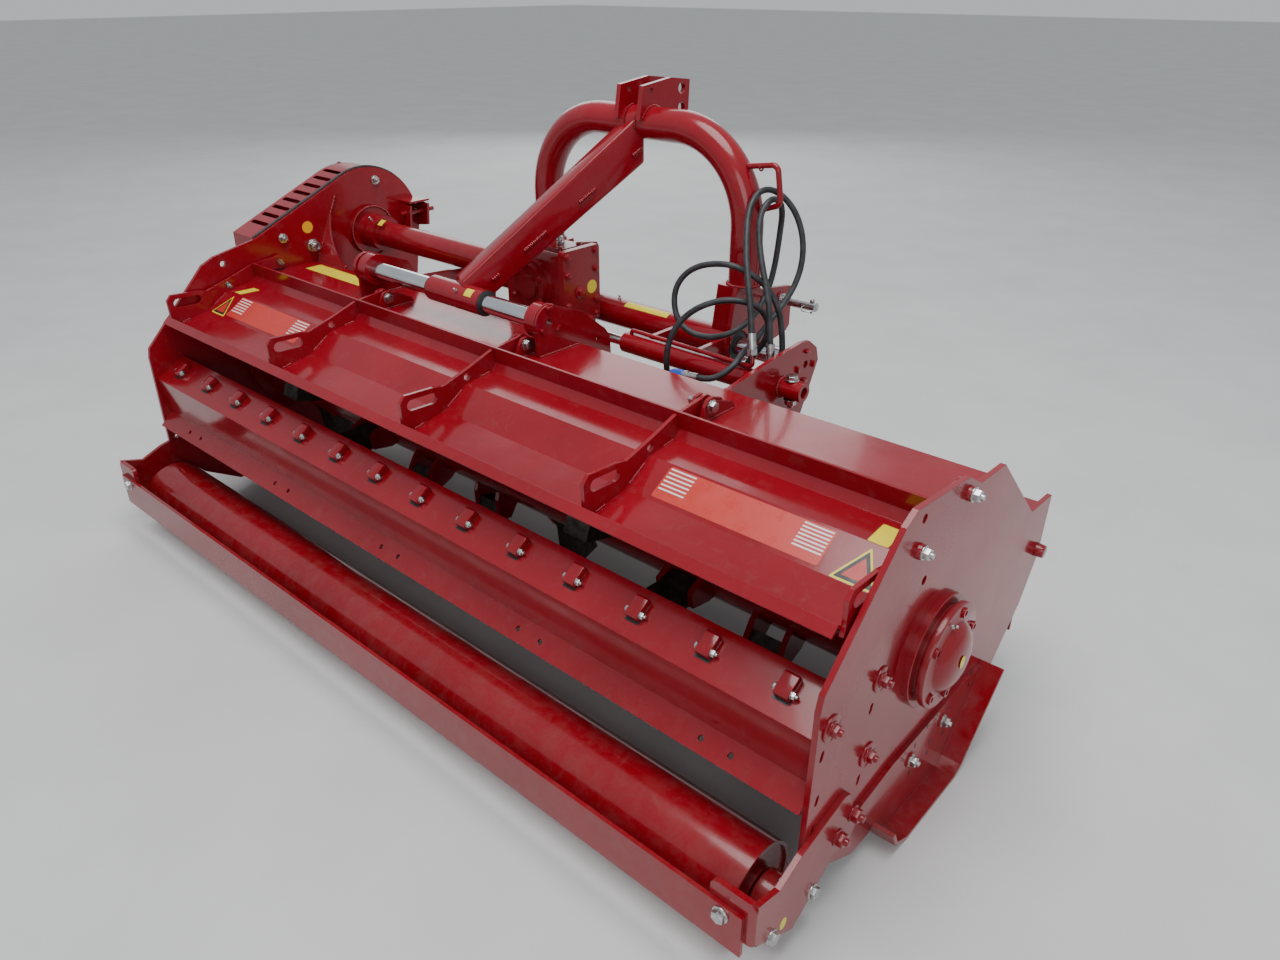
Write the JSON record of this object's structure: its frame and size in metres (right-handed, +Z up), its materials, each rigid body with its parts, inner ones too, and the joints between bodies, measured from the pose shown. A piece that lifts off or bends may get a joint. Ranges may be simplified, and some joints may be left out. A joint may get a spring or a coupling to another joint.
{
  "type": "rear flail mulcher",
  "caption": "Tractor-mounted flail mulcher with side-shift headstock, hinged rear hood, skids, rear roller and belt drive guard.",
  "frame": {"origin": "centre of the footprint, on the ground", "axes": "+X to the machine's right across the working width, +Y forward to the tractor, +Z up"},
  "size_m": [2.297, 1.21, 1.164],
  "materials": {
    "red_paint": "gloss",
    "rod_chrome": "polished",
    "pin_zinc": "zinc plated",
    "shaft_steel": "machined",
    "trim_rubber": "matte",
    "hose_rubber": "matte",
    "cap_plastic": "satin",
    "flail_steel": "forged"
  },
  "bodies": {
    "housing": {"side_plate_right": "red_paint", "side_plate_left": "red_paint", "top_deck": "red_paint", "counter_knife": "red_paint", "rake_beam": "red_paint", "rake_tines": "red_paint", "skid_right": "red_paint", "skid_left": "red_paint", "roller_arm_right": "red_paint", "roller_arm_left": "red_paint", "rear_bar": "red_paint", "rotor_bearing_right": "red_paint", "flap_rod": "pin_zinc", "front_flaps": "red_paint", "hinge_ears": "red_paint", "hinge_pins": "pin_zinc", "rear_rod": "rod_chrome", "front_rod": "rod_chrome", "rod_lug_right": "red_paint", "rod_lug_left": "red_paint", "end_plate": "red_paint", "gearbox": "red_paint", "gearbox_stand": "red_paint", "drive_tube": "red_paint", "belt_trim": "trim_rubber", "belt_cover": "red_paint", "belt_gusset": "red_paint", "belt_tensioner": "red_paint", "cylinder_rod": "rod_chrome", "cylinder_fork": "red_paint"},
    "rotor": {"rotor": "red_paint", "flails": "flail_steel"},
    "roller": {"roller": "red_paint"},
    "input_shaft": {"input_shaft": "shaft_steel"},
    "hood": {"hood_sheet": "red_paint", "hood_ribs": "red_paint"},
    "headstock": {"rear_sleeve": "red_paint", "front_sleeve": "red_paint", "arch": "red_paint", "leg_foot_left": "red_paint", "leg_foot_right": "red_paint", "link_plates": "red_paint", "hitch_pin_left": "pin_zinc", "hitch_pin_right": "pin_zinc", "top_link_bracket": "red_paint", "strut": "red_paint", "hose_hook": "red_paint", "cylinder_barrel": "red_paint", "barrel_brackets": "red_paint", "barrel_pipe": "red_paint", "hose_fittings": "pin_zinc", "hose_short": "hose_rubber", "hose_long": "hose_rubber", "hose_coupling_1": "pin_zinc", "hose_coupling_2": "pin_zinc", "coupling_cap_1": "cap_plastic", "coupling_cap_2": "cap_plastic"}
  },
  "joints": [
    {"name": "rotor_spin", "type": "hinge", "parent": "housing", "child": "rotor", "pos_m": [0.0285, -0.085, 0.36], "axis": [1, 0, 0], "continuous": true},
    {"name": "roller_spin", "type": "hinge", "parent": "housing", "child": "roller", "pos_m": [0.0285, -0.488, 0.08415], "axis": [1, 0, 0], "continuous": true},
    {"name": "input_spin", "type": "hinge", "parent": "housing", "child": "input_shaft", "pos_m": [-0.1975, 0.391, 0.679], "axis": [0, 1, 0], "continuous": true},
    {"name": "hood_hinge", "type": "hinge", "parent": "housing", "child": "hood", "pos_m": [0.0285, -0.044, 0.646], "axis": [-1, 0, 0], "range_deg": [0, 50]},
    {"name": "side_shift", "type": "slide", "parent": "housing", "child": "headstock", "axis": [1, 0, 0], "range_m": [-0.128, 0]}
  ],
  "couplings": [
    {"joint": "input_spin", "follows": "rotor_spin", "ratio": 0.27}
  ]
}
